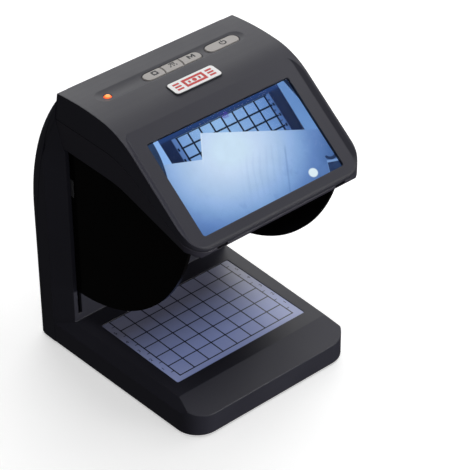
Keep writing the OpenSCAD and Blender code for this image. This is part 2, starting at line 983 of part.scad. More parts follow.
module mode_key() {
    key_body(2, split_x[1] + key_gap, trio_x[1])
        difference() {
            stadium(trio_x[0], trio_x[1], key_w);
            split_disc(1, key_gap);
            translate([trio_x[0] - 1, -key_w])
                square([split_x[1] - split_r - trio_x[0] + 4, 2 * key_w]);
        }
}

module power_key() {
    key_body(3, power_x[0], power_x[1])
        stadium(power_x[0], power_x[1], key_w);
}

module status_led() {
    color([0.9, 0.15, 0.08])
        translate([led_x, led_y, 0]) {
            translate([0, 0, key_board_top + 1])
                cylinder(r = led_r, h = recess_floor - key_board_top - 1.2);
            translate([0, 0, recess_floor - 0.2 - eps])
                intersection() {
                    translate([0, 0, -1.1])
                        sphere(r = led_r + 0.2);
                    cylinder(r = led_r, h = 3);
                }
            for (s = [-1, 1])
                translate([s * 1.27, 0, key_board_top])
                    cylinder(r = 0.3, h = 1.1);
        }
}

// Frame of the name plate on the roof's front part
module plate_seat(depth) {
    y = -0.8;
    translate([0.7, y, roof_c[1] + sqrt(roof_r * roof_r - pow(y - roof_c[0], 2)) - depth])
        rotate([asin((roof_c[0] - y) / roof_r), 0, 0])
            children();
}

module name_plate() {
    color([0.9, 0.9, 0.9])
        plate_seat(0.3)
            slab(30, 9.2, 0.8, 1.8);
}

// ---------- camera and lamps ----------

module camera_board() {
    color(board_green)
        translate([0, camera_y, camera_board_z])
            slab(25, 24, 1.2, 1);
    color(charcoal_dark)
        for (sx = [-1, 1], sy = [-1, 1])
            translate([sx * 10.5, camera_y + sy * 9, under_z + floor_t])
                cylinder(r = 1.5, h = camera_board_z - under_z - floor_t);
}

module camera_lens() {
    color("#101012")
        translate([0, camera_y, 0]) {
            translate([0, 0, camera_board_z - 3])
                linear_extrude(height = 3)
                    square([13, 13], center = true);
            translate([0, 0, under_z + 0.4])
                difference() {
                    cylinder(r = 6, h = camera_board_z - 3 - under_z - 0.4 + eps);
                    translate([0, 0, -eps])
                        cylinder(r1 = 4.6, r2 = 2.6, h = 2);
                }
        }
}

module uv_lamp_board() {
    color(board_green)
        translate([0, lamp_y, under_z + floor_t + 3])
            slab(80, 10, 1.2, 0.8);
    color(charcoal_dark)
        for (s = [-1, 1])
            translate([s * 39, lamp_y, under_z + floor_t])
                linear_extrude(height = 3)
                    square([1.6, 8], center = true);
}

module uv_leds() {
    color([0.7, 0.65, 0.95])
        for (i = [-3.5 : 3.5])
            translate([i * 9, lamp_y, under_z + floor_t + 1.4])
                slab(3.5, 3.5, 1.6, 0.4);
}

module lamp_window() {
    color([0.6, 0.6, 0.75, 0.5])
        translate([0, lamp_y, under_z])
            slab(82, 12, 0.8, 0.8);
}

module ir_led_boards() {
    for (s = [-1, 1]) {
        color(board_green)
            translate([s * 26, camera_y, under_z + 7])
                slab(24, 8, 1.2, 0.8);
        color([0.25, 0.2, 0.3])
            for (k = [-1, 0, 1])
                translate([s * 26 + k * 8, camera_y, under_z]) {
                    translate([0, 0, 2])
                        cylinder(r = 2.4, h = 5);
                    translate([0, 0, 2.6])
                        sphere(r = 2.4);
                }
    }
}

// ---------- power and wiring ----------

module power_board() {
    color(board_green)
        translate([jack_x - 4, 54, power_board_z])
            slab(34, 18, board_t, 1);
    color(charcoal_dark)
        for (x = [jack_x - 18, jack_x + 10])
            translate([x, 49, foot_h + plate_t])
                cylinder(r = 2, h = power_board_z - foot_h - plate_t);
}

module dc_jack() {
    front = 58.4;
    len = mid_y - 0.2 - front;
    color("#151517")
        difference() {
            translate([jack_x - jack_w / 2, front, jack_z - jack_h / 2])
                cube([jack_w, len, jack_h]);
            translate([jack_x, front + 1.5, jack_z])
                rotate([-90, 0, 0])
                    cylinder(r = 3.1, h = 20);
        }
    color(steel)
        translate([jack_x, front + 1.4, jack_z])
            rotate([-90, 0, 0])
                cylinder(r = 1, h = len - 2.4);
}

// A flat cable, w wide and t thick, through (Y, Z) points at x
function unit(v) = v / norm(v);
function side_step(pts, i) =
    let (n = len(pts),
         u = unit(pts[min(i + 1, n - 1)] - pts[min(i, n - 2)]),
         v = unit(pts[max(i, 1)] - pts[max(i - 1, 0)]),
         m = unit([-(u + v)[1], (u + v)[0]]))
    m / (m * [-u[1], u[0]]);
module ribbon(x, w, t, pts) {
    n = len(pts);
    translate([x, 0, 0])
        across(w)
            polygon(concat(pts, [for (i = [n - 1 : -1 : 0]) pts[i] + t * side_step(pts, i)]));
}

module column_cable() {
    color([0.5, 0.5, 0.53])
        ribbon(14, 12, 1, [[48, power_board_z + board_t], [52, power_board_z + board_t],
                           [56, 16], [55, 110], [45, main_board_z - 0.6], [28, main_board_z]]);
}

module backlight_cable() {
    color([0.5, 0.5, 0.53])
        ribbon(27, 8, 0.8, [[18, backlight_z + board_t], [28, backlight_z + board_t],
                            [40, power_board_z + board_t], [50, power_board_z + board_t]]);
}

// ---------- fasteners ----------

// Screw with its head at the origin and its shank along +Z
module screw(l, head_r = 2.5, head_h = 1.2, r = pilot_r - 0.05) {
    color(steel) {
        difference() {
            cylinder(r = head_r, h = head_h);
            for (a = [0, 90])
                rotate([0, 0, a])
                    cube([head_r * 1.2, 0.6, 0.9], center = true);
        }
        translate([0, 0, head_h - eps])
            cylinder(r = r, h = l);
    }
}

module body_screws() {
    for (p = body_screw_xy)
        translate([p[0], p[1], foot_h])
            screw(7);
}

// Height of the back of the rear cover is flat below back_z and falls away above it
function back_y(z) =
    z < back_z ? mid_y : mid_y - back_r + sqrt(back_r * back_r - pow(z - back_z, 2));

module cover_screws() {
    for (p = cover_screw_xz)
        translate([p[0], back_y(p[1]) - 0.4, p[1]])
            rotate([90, 0, 0])
                screw(18, 2.6, 1.4);
}

module head_screws() {
    for (p = head_screw_xy)
        translate([p[0], p[1], under_height(p[1]) + 0.25])
            screw(22);
}

module board_screws() {
    for (p = main_screw_xy)
        translate([p[0], p[1], main_board_z + board_t + 1.2])
            mirror([0, 0, 1])
                screw(5, 2, 1.2, 0.85);
    for (x = key_screw_x)
        translate([x, recess_y, key_board_top - board_t - 1.2])
            screw(5, 2, 1.2, 0.85);
}

body_shell();
bottom_plate();
rubber_feet();
rear_cover();
head_lower_shell();
head_upper_shell();
left_shield();
right_shield();
left_shield_clip();
right_shield_clip();
light_mat();
diffuser_sheet();
backlight_board();
backlight_leds();
display_window();
display_gasket();
display_module();
display_cable();
main_board();
main_board_chips();
keypad_board();
keypad_cable();
tact_switches();
magnifier_key();
lamp_key();
mode_key();
power_key();
magnifier_plunger();
lamp_plunger();
mode_plunger();
power_plunger();
status_led();
name_plate();
camera_board();
camera_lens();
uv_lamp_board();
uv_leds();
lamp_window();
ir_led_boards();
power_board();
dc_jack();
column_cable();
backlight_cable();
body_screws();
cover_screws();
head_screws();
board_screws();
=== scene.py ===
import bpy
import bmesh
import json
import math
from mathutils import Matrix, Vector


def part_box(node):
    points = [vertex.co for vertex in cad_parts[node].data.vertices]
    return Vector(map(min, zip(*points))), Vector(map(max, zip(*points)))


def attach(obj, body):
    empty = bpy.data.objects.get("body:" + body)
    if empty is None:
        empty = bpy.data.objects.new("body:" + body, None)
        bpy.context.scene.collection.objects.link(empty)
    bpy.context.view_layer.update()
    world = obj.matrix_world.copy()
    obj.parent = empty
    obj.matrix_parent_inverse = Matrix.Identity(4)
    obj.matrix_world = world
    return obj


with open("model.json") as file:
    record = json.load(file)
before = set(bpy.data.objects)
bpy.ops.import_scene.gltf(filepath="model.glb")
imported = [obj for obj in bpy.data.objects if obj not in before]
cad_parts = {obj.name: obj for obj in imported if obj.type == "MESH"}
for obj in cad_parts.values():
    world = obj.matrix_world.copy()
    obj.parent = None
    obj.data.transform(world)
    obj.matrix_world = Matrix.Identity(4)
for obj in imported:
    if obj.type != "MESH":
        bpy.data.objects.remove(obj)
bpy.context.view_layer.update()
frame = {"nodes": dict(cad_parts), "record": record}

NODES = frame["nodes"]
MM = 0.001
scene = bpy.context.scene

# camera: its direction seen from the object, what it looks at, and its lens
CAMERA_AZIMUTH, CAMERA_ELEVATION, CAMERA_ROLL = -40.928, 35.984, -0.49
CAMERA_TARGET = (0.06413, 0.04186, 0.0195)
CAMERA_DISTANCE = 1.2681
CAMERA_LENS, CAMERA_SENSOR = 169.88, 36.0
CAMERA_SHIFT = (-0.0007, 0.0007)

# tilts of the screen and of the name plate from the horizontal, in degrees
FACE_TILT = 37.5
PLATE_TILT = 5.5
# depths below the sunk panel, in mm: the middle of the glass, and the picture behind it
GLASS_MID = 1.3
PICTURE_DEPTH = 2.24
# half the width and height of the picture, in mm
PICTURE_HALF = (48.2, 27.6)
# how far printed graphics stand out of the surface that they are on, and reach into it, in mm
INK_OUT, INK_IN = 0.02, 0.05


# ---------------------------------------------------------------- camera
def make_camera():
    az, el, roll = (math.radians(v) for v in (CAMERA_AZIMUTH, CAMERA_ELEVATION, CAMERA_ROLL))
    back = Vector((math.sin(az) * math.cos(el), -math.cos(az) * math.cos(el), math.sin(el)))
    right = (-back).cross(Vector((0, 0, 1))).normalized()
    down = (-back).cross(right)
    c, s = math.cos(roll), math.sin(roll)
    x_axis, y_axis = c * right - s * down, -(s * right + c * down)
    cam = bpy.data.objects.new("camera", bpy.data.cameras.new("camera"))
    scene.collection.objects.link(cam)
    rot = Matrix((x_axis, y_axis, back)).transposed().to_4x4()
    cam.matrix_world = Matrix.Translation(Vector(CAMERA_TARGET) + back * CAMERA_DISTANCE) @ rot
    cam.data.sensor_width = CAMERA_SENSOR
    cam.data.lens = CAMERA_LENS
    cam.data.shift_x, cam.data.shift_y = CAMERA_SHIFT
    cam.data.clip_end = 20.0
    scene.camera = cam


# ---------------------------------------------------------------- node helpers
class Mat:
    """A Principled material and short calls for building the nodes that feed it."""

    def __init__(self, name):
        self.mat = bpy.data.materials.new(name)
        self.mat.use_nodes = True
        self.nt = self.mat.node_tree
        self.bsdf = self.nt.nodes["Principled BSDF"]
        self.coord = self.add("ShaderNodeTexCoord").outputs["Object"]

    def add(self, kind, **props):
        node = self.nt.nodes.new(kind)
        for key, value in props.items():
            setattr(node, key, value)
        return node

    def link(self, a, b):
        self.nt.links.new(a, b)

    def feed(self, socket, value):
        """Links a socket or sets a value."""
        if isinstance(value, bpy.types.NodeSocket):
            self.link(value, socket)
        else:
            socket.default_value = value

    def set(self, **values):
        """Feeds the shader's own inputs, named with _ for each space."""
        for key, value in values.items():
            self.feed(self.bsdf.inputs[key.replace("_", " ")], value)
        return self

    def math(self, op, a, b=0.0, c=0.0):
        """One Math node; a, b and c are numbers or sockets."""
        node = self.add("ShaderNodeMath", operation=op)
        for i, v in enumerate((a, b, c)):
            self.feed(node.inputs[i], v)
        return node.outputs[0]

    def noise(self, scale, detail=2.0, roughness=0.5, stretch=None):
        node = self.add("ShaderNodeTexNoise")
        node.inputs["Scale"].default_value = scale
        node.inputs["Detail"].default_value = detail
        node.inputs["Roughness"].default_value = roughness
        source = self.coord
        if stretch:
            mapping = self.add("ShaderNodeMapping")
            mapping.inputs["Scale"].default_value = stretch
            self.link(source, mapping.inputs["Vector"])
            source = mapping.outputs[0]
        self.link(source, node.inputs["Vector"])
        return node.outputs["Fac"]

    def ramp(self, fac, stops):
        node = self.add("ShaderNodeValToRGB")
        ramp = node.color_ramp
        while len(ramp.elements) < len(stops):
            ramp.elements.new(0.5)
        for element, (pos, col) in zip(ramp.elements, stops):
            element.position = pos
            element.color = tuple(col) + (1.0,) * (4 - len(col))
        self.link(fac, node.inputs[0])
        return node.outputs[0]

    def mix(self, fac, a, b):
        node = self.add("ShaderNodeMix", data_type="RGBA")
        self.feed(node.inputs[0], fac)
        for socket, v in ((node.inputs[6], a), (node.inputs[7], b)):
            if isinstance(v, bpy.types.NodeSocket):
                self.link(v, socket)
            else:
                socket.default_value = tuple(v) + (1.0,) * (4 - len(v))
        return node.outputs[2]

    def span(self, value, lo, hi):
        """Spreads a noise, which mostly lies between 0.3 and 0.7, over lo to hi."""
        node = self.add("ShaderNodeMapRange")
        self.link(value, node.inputs["Value"])
        node.inputs["From Min"].default_value = 0.3
        node.inputs["From Max"].default_value = 0.7
        node.inputs["To Min"].default_value = lo
        node.inputs["To Max"].default_value = hi
        return node.outputs[0]

    def bump(self, height, strength, distance, normal=None):
        node = self.add("ShaderNodeBump")
        node.inputs["Strength"].default_value = strength
        node.inputs["Distance"].default_value = distance
        self.link(height, node.inputs["Height"])
        if normal is not None:
            self.link(normal, node.inputs["Normal"])
        return node.outputs[0]

    def xyz(self):
        node = self.add("ShaderNodeSeparateXYZ")
        self.link(self.coord, node.inputs[0])
        return node.outputs[0], node.outputs[1], node.outputs[2]

    def edge(self, value, at, soft):
        """0 below `at`, 1 above it, over a band `soft` wide."""
        node = self.add("ShaderNodeMapRange", interpolation_type="SMOOTHSTEP")
        self.feed(node.inputs["Value"], value)
        node.inputs["From Min"].default_value = at - soft / 2
        node.inputs["From Max"].default_value = at + soft / 2
        return node.outputs[0]

    def band(self, value, lo, hi, soft):
        """1 between lo and hi."""
        return self.math("SUBTRACT", self.edge(value, lo, soft), self.edge(value, hi, soft))

    def below(self, value, at, soft):
        """1 below `at`."""
        return self.math("SUBTRACT", 1.0, self.edge(value, at, soft))

    def both(self, *masks):
        out = masks[0]
        for mask in masks[1:]:
            out = self.math("MULTIPLY", out, mask)
        return out

    def plane(self, x, y, a, b, c, soft):
        """1 where a*x + b*y + c > 0, with a, b scaled to unit length."""
        n = math.hypot(a, b)
        d = self.math("ADD", self.math("MULTIPLY", x, a / n),
                      self.math("MULTIPLY_ADD", y, b / n, c / n))
        return self.edge(d, 0.0, soft)


def shade(col, k):
    """The colour made lighter or darker by a factor."""
    return tuple(min(1.0, v * k) for v in col)


def srgb(*levels):
    """Linear colour of three display levels from 0 to 255."""
    return tuple(((v / 255 + 0.055) / 1.055) ** 2.4 if v > 10 else v / 255 / 12.92 for v in levels)


def plastic(name, col, rough=0.5, grain=0.25, depth=0.02, spread=0.06, specular=0.5, rounded=0.0):
    """Moulded plastic: an eroded grain, faint colour drift, uneven gloss and rounded edges (mm)."""
    m = Mat(name)
    soft = None
    if rounded:
        node = m.add("ShaderNodeBevel", samples=4)
        node.inputs["Radius"].default_value = rounded * MM
        soft = node.outputs[0]
    drift = m.noise(28, 3, 0.6)
    fine = m.noise(1000 / grain, 2, 0.6)
    mottled = m.math("MULTIPLY_ADD", fine, 0.35, m.math("MULTIPLY", drift, 0.65))
    m.set(Base_Color=m.ramp(mottled, [(0.35, shade(col, 1 - spread)), (0.65, shade(col, 1 + spread))]),
          Roughness=m.span(m.math("ADD", m.math("MULTIPLY", drift, 0.6), m.math("MULTIPLY", fine, 0.4)),
                           rough - 0.06, rough + 0.06),
          Normal=m.bump(fine, 0.35, depth * MM, soft))
    m.bsdf.inputs["Specular IOR Level"].default_value = specular
    return m


def gloss(name, col, rough=0.08, coat=0.0, spread=0.05):
    """Smooth polished surface with a faint haze and a slow waviness."""
    m = Mat(name)
    haze = m.noise(60, 4, 0.65)
    wave = m.noise(9, 1, 0.4)
    m.set(Base_Color=m.ramp(haze, [(0.3, shade(col, 1 - spread)), (0.7, shade(col, 1 + spread))]),
          Roughness=m.span(haze, rough * 0.7, rough * 1.5),
          Normal=m.bump(wave, 0.08, 0.2 * MM))
    m.bsdf.inputs["Coat Weight"].default_value = coat
    return m


# ---------------------------------------------------------------- materials
def housing(name, col, rough):
    return plastic(name, col, rough, grain=0.32, depth=0.03, spread=0.07, specular=0.45,
                   rounded=0.8).mat


def rubber():
    return plastic("rubber_black", (0.018, 0.018, 0.019), 0.75, grain=0.6, depth=0.05, spread=0.15).mat


def smoked():
    """Nearly opaque shields that reflect very little."""
    m = gloss("smoked_plastic", (0.0022, 0.0019, 0.0018), 0.16, spread=0.15)
    m.bsdf.inputs["Specular IOR Level"].default_value = 0.06
    return m.mat


def board():
    """Green board with brighter tracks and small pads."""
    m = Mat("circuit_board")
    weave = m.noise(2500, 1, 0.4, stretch=(1, 0.2, 1))
    brick = m.add("ShaderNodeTexBrick", offset=0.37, squash=0.7)
    brick.inputs["Scale"].default_value = 260
    brick.inputs["Mortar Size"].default_value = 0.06
    m.link(m.coord, brick.inputs["Vector"])
    voro = m.add("ShaderNodeTexVoronoi", feature="F1")
    voro.inputs["Scale"].default_value = 240
    m.link(m.coord, voro.inputs["Vector"])
    pads = m.edge(voro.outputs["Distance"], 0.16, 0.04)
    track = m.mix(brick.outputs["Fac"], (0.006, 0.075, 0.03), (0.02, 0.16, 0.06))
    m.set(Base_Color=m.mix(pads, (0.55, 0.42, 0.2), track),
          Roughness=m.span(weave, 0.25, 0.4),
          Normal=m.bump(brick.outputs["Fac"], 0.4, 0.03 * MM))
    return m.mat


def metal(name, col, rough):
    """Turned metal with fine scratches."""
    m = Mat(name)
    scratch = m.noise(900, 3, 0.6, stretch=(1, 1, 0.15))
    m.set(Base_Color=m.ramp(scratch, [(0.3, shade(col, 0.8)), (0.7, shade(col, 1.1))]),
          Roughness=m.span(scratch, rough * 0.7, rough * 1.4), Metallic=1.0,
          Normal=m.bump(scratch, 0.2, 0.01 * MM))
    return m.mat


def cable(name, dark, light, pitch):
    """Flat cable with parallel cores, `pitch` mm apart."""
    m = Mat(name)
    x, _, _ = m.xyz()
    wave = m.math("SINE", m.math("MULTIPLY", x, 2 * math.pi / (pitch * MM)))
    core = m.edge(wave, 0.0, 0.8)
    m.set(Base_Color=m.mix(core, dark, light), Roughness=m.span(m.noise(600), 0.35, 0.5),
          Normal=m.bump(core, 0.4, 0.1 * MM))
    return m.mat


def glowing(name, col, glow, strength, centre=None, core=None):
    """A lit lens; with a centre, a brighter core lies around it."""
    core_r = (1.7 * MM, 1.4 * MM)
    m = Mat(name)
    n = m.noise(700, 2)
    tint = m.ramp(n, [(0.3, shade(col, 0.85)), (0.7, shade(col, 1.1))])
    m.set(Base_Color=tint, Roughness=m.span(n, 0.12, 0.25))
    if centre:
        away = m.add("ShaderNodeVectorMath", operation="DISTANCE")
        m.link(m.coord, away.inputs[0])
        away.inputs[1].default_value = centre
        m.set(Emission_Color=m.mix(m.edge(away.outputs["Value"], *core_r), core, glow))
    else:
        m.set(Emission_Color=m.mix(n, shade(glow, 0.9), glow))
    m.bsdf.inputs["Emission Strength"].default_value = strength
    return m.mat


def clear(name, tint, rough):
    """Thin clear sheet that bends light very little."""
    m = Mat(name)
    smear = m.noise(120, 4, 0.6)
    m.set(Base_Color=m.ramp(smear, [(0.3, shade(tint, 0.96)), (0.7, tint)]),
          Roughness=m.span(smear, rough, rough * 2))
    m.bsdf.inputs["Transmission Weight"].default_value = 1.0
    m.bsdf.inputs["IOR"].default_value = 1.06
    return m.mat


def mat_print():
    """Milky mat with the printed 10 mm grid and its 5 mm ticks."""
    pitch, line_half, tick_half, soft = 10.0, 0.36, 0.22, 0.12
    grid_half, grid_l, tick_end = 40.4, 60.4, 42.0
    m = Mat("mat_plastic")
    x, y, z = m.xyz()
    _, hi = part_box("light_mat")
    # millimetres across, and forwards from the mat's rear edge
    x_mm = m.math("MULTIPLY", x, 1000.0)
    s_mm = m.math("MULTIPLY_ADD", y, -1000.0, hi.y * 1000.0)

    def lines(value, half):
        return m.below(m.math("PINGPONG", value, pitch / 2), half, soft)

    inside_x = m.band(x_mm, -grid_half, grid_half, 0.1)
    inside_y = m.band(s_mm, -0.5, grid_l, 0.1)
    wide = m.both(lines(x_mm, line_half), m.both(inside_x, inside_y))
    deep = m.both(lines(s_mm, line_half), m.both(inside_x, inside_y))
    # short ticks at each half square, along both edges of the grid
    side = m.math("ADD", m.band(x_mm, -tick_end, -40.0, 0.1), m.band(x_mm, 40.0, tick_end, 0.1))
    ticks = m.both(lines(m.math("ADD", s_mm, pitch / 2), tick_half), side, inside_y)
    ink = m.math("MINIMUM", 1.0, m.math("ADD", wide, m.math("ADD", deep, ticks)))
    ink = m.both(ink, m.edge(z, hi.z - 0.15 * MM, 0.1 * MM))
    cloud = m.noise(45, 3, 0.6)
    milk = m.ramp(cloud, [(0.3, (0.40, 0.41, 0.50)), (0.7, (0.46, 0.47, 0.56))])
    fine = m.noise(2600, 1, 0.5)
    m.set(Base_Color=m.mix(ink, milk, (0.012, 0.012, 0.016)),
          Roughness=m.span(fine, 0.32, 0.42), Normal=m.bump(fine, 0.12, 0.02 * MM))
    m.bsdf.inputs["Subsurface Weight"].default_value = 0.15
    m.bsdf.inputs["Subsurface Radius"].default_value = (0.002, 0.002, 0.0022)
    # the lamp under the mat shows faintly; its glow fades towards the rear, a painted shade where the head
    # hangs over the mat
    lit = m.ramp(m.math("MULTIPLY", s_mm, 1 / 64.0),
                 [(0.2, (0.05, 0.055, 0.16)), (0.75, (0.55, 0.75, 1.7))])
    m.set(Emission_Color=m.mix(ink, lit, (0.0, 0.0, 0.0)))
    m.bsdf.inputs["Emission Strength"].default_value = 0.12
    return m.mat


def screen_picture():
    """What the camera sees: a gridded mat between pale side rails and two plain sheets lying on it."""
    col_pitch, row_pitch, first_col, first_row = 7.295, 6.17, 29.17, 2.9
    m = Mat("screen_picture")
    x0, y0, _ = m.xyz()
    # millimetres from the middle of the window, and down from its top edge
    x = m.math("MULTIPLY_ADD", x0, 1000.0, -0.3)
    s = m.math("MULTIPLY_ADD", y0, -1000.0, 26.9)

    def vary(a, b, scale):
        return m.ramp(m.noise(scale, 3, 0.6), [(0.35, a), (0.65, b)])

    def reach(cx, cs, rx, rs):
        """Distance from a point, in units of rx across and rs down."""
        dx = m.math("MULTIPLY", m.math("ADD", x, -cx), 1 / rx)
        ds = m.math("MULTIPLY", m.math("ADD", s, -cs), 1 / rs)
        return m.math("SQRT", m.math("ADD", m.math("MULTIPLY", dx, dx), m.math("MULTIPLY", ds, ds)))

    # dark surround, lit a little along the top edge
    out = vary(srgb(23, 34, 64), srgb(29, 44, 80), 60)
    out = m.mix(m.below(s, 2.4, 1.4), out, srgb(38, 63, 114))
    # the gridded mat, brighter towards its middle
    cx = m.math("ABSOLUTE", m.math("ADD", x, 6.0))
    fade = m.math("MULTIPLY_ADD", m.noise(40, 3, 0.6), 0.25, m.math("MULTIPLY", cx, 1 / 44.0))
    cell = m.ramp(fade, [(0.2, srgb(144, 184, 229)), (0.75, srgb(114, 153, 210)),
                         (1.0, srgb(92, 132, 190))])
    grid = m.both(m.band(x, -32.3, 32.5, 0.9), m.edge(s, 2.8, 0.7))
    shelf = m.math("SUBTRACT", 1.0, m.band(x, -29.5, 29.5, 0.4))
    out = m.mix(grid, out, m.mix(m.math("MULTIPLY", shelf, 0.6), cell, srgb(58, 88, 150)))
    # distance to the nearest upright and level grid line; 20 pitches keep the sums positive
    sx = m.math("PINGPONG", m.math("ADD", x, first_col + col_pitch * 20), col_pitch / 2)
    ss = m.math("PINGPONG", m.math("ADD", s, row_pitch * 20 - first_row), row_pitch / 2)
    line = m.math("MAXIMUM", m.both(m.below(sx, 0.52, 0.35), m.band(x, -29.9, 29.9, 0.3)),
                  m.both(m.below(ss, 0.48, 0.35), m.band(x, -29.9, 30.6, 0.3)))
    label = m.math("ADD", m.band(x, -32.1, -31.0, 0.3), m.band(x, 31.0, 32.1, 0.3))
    mark = m.both(m.below(ss, 0.85, 0.4), m.edge(s, 7.0, 0.5))
    tick = m.both(m.band(x, 29.9, 31.0, 0.3), m.edge(ss, 2.8, 0.2))
    ink = m.math("MAXIMUM", m.both(line, m.edge(s, 2.5, 0.4)), m.math("MAXIMUM", m.both(label, mark), tick))
    out = m.mix(m.math("MULTIPLY", m.both(ink, grid), 0.97), out, srgb(6, 10, 28))
    smudge = m.both(m.band(x, 0.4, 4.6, 1.2), m.band(s, 1.4, 4.8, 1.2), m.edge(m.noise(500, 2), 0.45, 0.2))
    out = m.mix(m.math("MULTIPLY", smudge, 0.55), out, srgb(84, 58, 170))
    # pale rails on both sides, dark beyond their flared outer edges
    flare = m.math("MULTIPLY", m.math("MULTIPLY", s, s), 0.0095)
    left_edge = m.edge(m.math("ADD", m.math("ADD", x, flare), 42.3), 0.0, 0.5)
    right_lim = m.math("MINIMUM", m.math("MULTIPLY_ADD", s, 0.2, 44.4), 47.1)
    right_edge = m.edge(m.math("SUBTRACT", right_lim, x), 0.0, 0.5)
    lanes = m.math("SUBTRACT", 1.0, m.both(left_edge, right_edge))
    left = m.both(left_edge, m.below(x, -39.2, 0.4))
    right = m.both(right_edge, m.plane(x, s, 1.0, 0.02, -39.95, 0.4))
    out = m.mix(left, out, vary(srgb(124, 166, 228), srgb(140, 182, 238), 20))
    out = m.mix(right, out, vary(srgb(98, 138, 195), srgb(110, 152, 208), 20))
    # two plain sheets, one over the other, whiter where the lamps shine on them
    top_edge = m.plane(x, s, -0.4, 1.0, -12.25, 0.3)
    high = m.both(m.plane(x, s, 1.0, 0.584, 12.1, 0.3), top_edge)
    low = m.both(m.plane(x, s, -0.295, 1.0, -25.3, 0.35), top_edge)
    cloud = m.math("MULTIPLY_ADD", m.noise(26, 4, 0.6), 0.09,
                   m.math("MULTIPLY_ADD", reach(-6.0, 20.0, 52.0, 40.0), 0.8, -0.045))
    glow = m.ramp(cloud, [(0.12, srgb(204, 227, 246)), (0.24, srgb(197, 218, 244)),
                          (0.45, srgb(168, 196, 231)), (0.56, srgb(149, 181, 226)),
                          (0.66, srgb(127, 163, 212)), (0.78, srgb(98, 133, 190)),
                          (0.93, srgb(76, 110, 165))])
    # show-through of the lower sheet, faint slanting folds and one sharper crease
    slant = m.math("ADD", m.math("MULTIPLY", x, 0.878), m.math("MULTIPLY", s, 0.479))
    waves = m.math("SINE", m.math("MULTIPLY_ADD", slant, 1.7, m.math("MULTIPLY", m.noise(45, 2), 8.0)))
    folds = m.both(m.edge(waves, 0.45, 0.9), m.band(slant, 10.0, 33.0, 5.0), m.band(s, 28.0, 50.0, 8.0))
    glow = m.mix(m.math("MULTIPLY", folds, 0.11), glow, srgb(120, 152, 204))
    crease = m.both(m.band(slant, 34.9, 35.9, 0.7), m.edge(s, 31.0, 6.0))
    glow = m.mix(m.math("MULTIPLY", crease, 0.32), glow, srgb(82, 118, 176))
    blot = m.both(m.edge(m.noise(75, 3, 0.6), 0.56, 0.1), m.edge(reach(-6.0, 20.0, 40.0, 26.0), 1.0, 0.6))
    glow = m.mix(m.math("MULTIPLY", blot, 0.3), glow, srgb(104, 138, 194))
    out = m.mix(m.math("MAXIMUM", low, high), out, glow)
    along_edge = m.math("ADD", x, m.math("MULTIPLY", s, 0.584))
    seam = m.both(high, m.band(along_edge, -12.2, -11.3, 0.4), m.below(s, 20.0, 5.0))
    out = m.mix(m.math("MULTIPLY", seam, 0.4), out, srgb(222, 238, 250))
    # bright reflection of a lamp, and the housing's corner at the lower right
    out = m.mix(m.below(reach(29.5, 49.8, 2.7, 2.4), 1.0, 0.3), out, srgb(222, 239, 246))
    ring = reach(45.0, 43.4, 1.0, 1.0)
    arc = m.both(m.band(ring, 3.2, 4.9, 0.5), m.edge(s, 45.0, 0.6), m.edge(x, 41.0, 0.4))
    box = m.both(m.plane(x, s, 1.0, 0.4, -59.8, 0.4), m.plane(x, s, -0.25, 1.0, -38.5, 0.4))
    out = m.mix(m.both(m.plane(x, s, 1.0, 0.4, -59.6, 0.6), m.plane(x, s, -0.25, 1.0, -37.2, 0.5)),
                out, srgb(120, 156, 208))
    out = m.mix(m.math("MAXIMUM", arc, box), out, vary(srgb(34, 50, 84), srgb(46, 66, 104), 150))
    out = m.mix(lanes, out, vary(srgb(26, 38, 64), srgb(48, 70, 104), 30))
    rim = m.both(m.band(x, -46.75, 46.75, 0.4), m.band(s, 0.1, 53.9, 0.4))
    out = m.mix(rim, srgb(12, 18, 34), out)
    fine = m.noise(800)
    m.set(Base_Color=m.ramp(fine, [(0.3, (0.004, 0.005, 0.008)), (0.7, (0.006, 0.007, 0.01))]),
          Emission_Color=out, Roughness=m.span(fine, 0.35, 0.45))
    m.bsdf.inputs["Emission Strength"].default_value = 1.0
    m.bsdf.inputs["Specular IOR Level"].default_value = 0.0
    return m.mat


